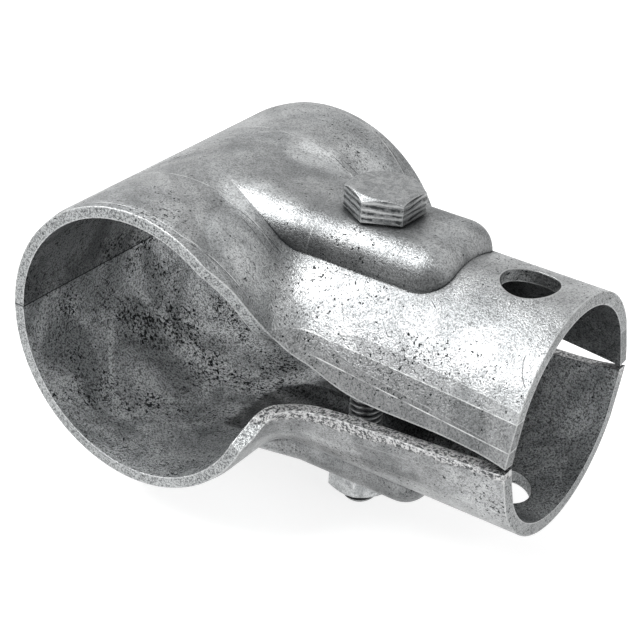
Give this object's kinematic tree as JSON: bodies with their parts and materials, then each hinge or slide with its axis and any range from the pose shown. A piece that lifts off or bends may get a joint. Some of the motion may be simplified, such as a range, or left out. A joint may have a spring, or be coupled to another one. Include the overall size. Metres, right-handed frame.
{
  "type": "tube clamp tee fitting",
  "caption": "Pressed galvanised steel clamp that joins a branch tube square to a run tube: matching half-shells drawn together by a hex bolt and nut.",
  "frame": {"origin": "where the run tube's axis and the branch tube's axis cross, on the plane between the two shells", "axes": "+Y along the run tube, +X along the branch tube towards its open end, +Z along the bolt towards its head"},
  "size_m": [0.1196, 0.0762, 0.0793],
  "materials": {
    "galvanised_sheet": "hot-dip galvanised, mottled and worn",
    "galvanised_bolt": "hot-dip galvanised, dull",
    "galvanised_nut": "hot-dip galvanised, dull"
  },
  "bodies": {
    "root": {"upper_shell": "galvanised_sheet", "lower_shell": "galvanised_sheet", "hex_bolt": "galvanised_bolt", "hex_nut": "galvanised_nut"}
  },
  "joints": []
}
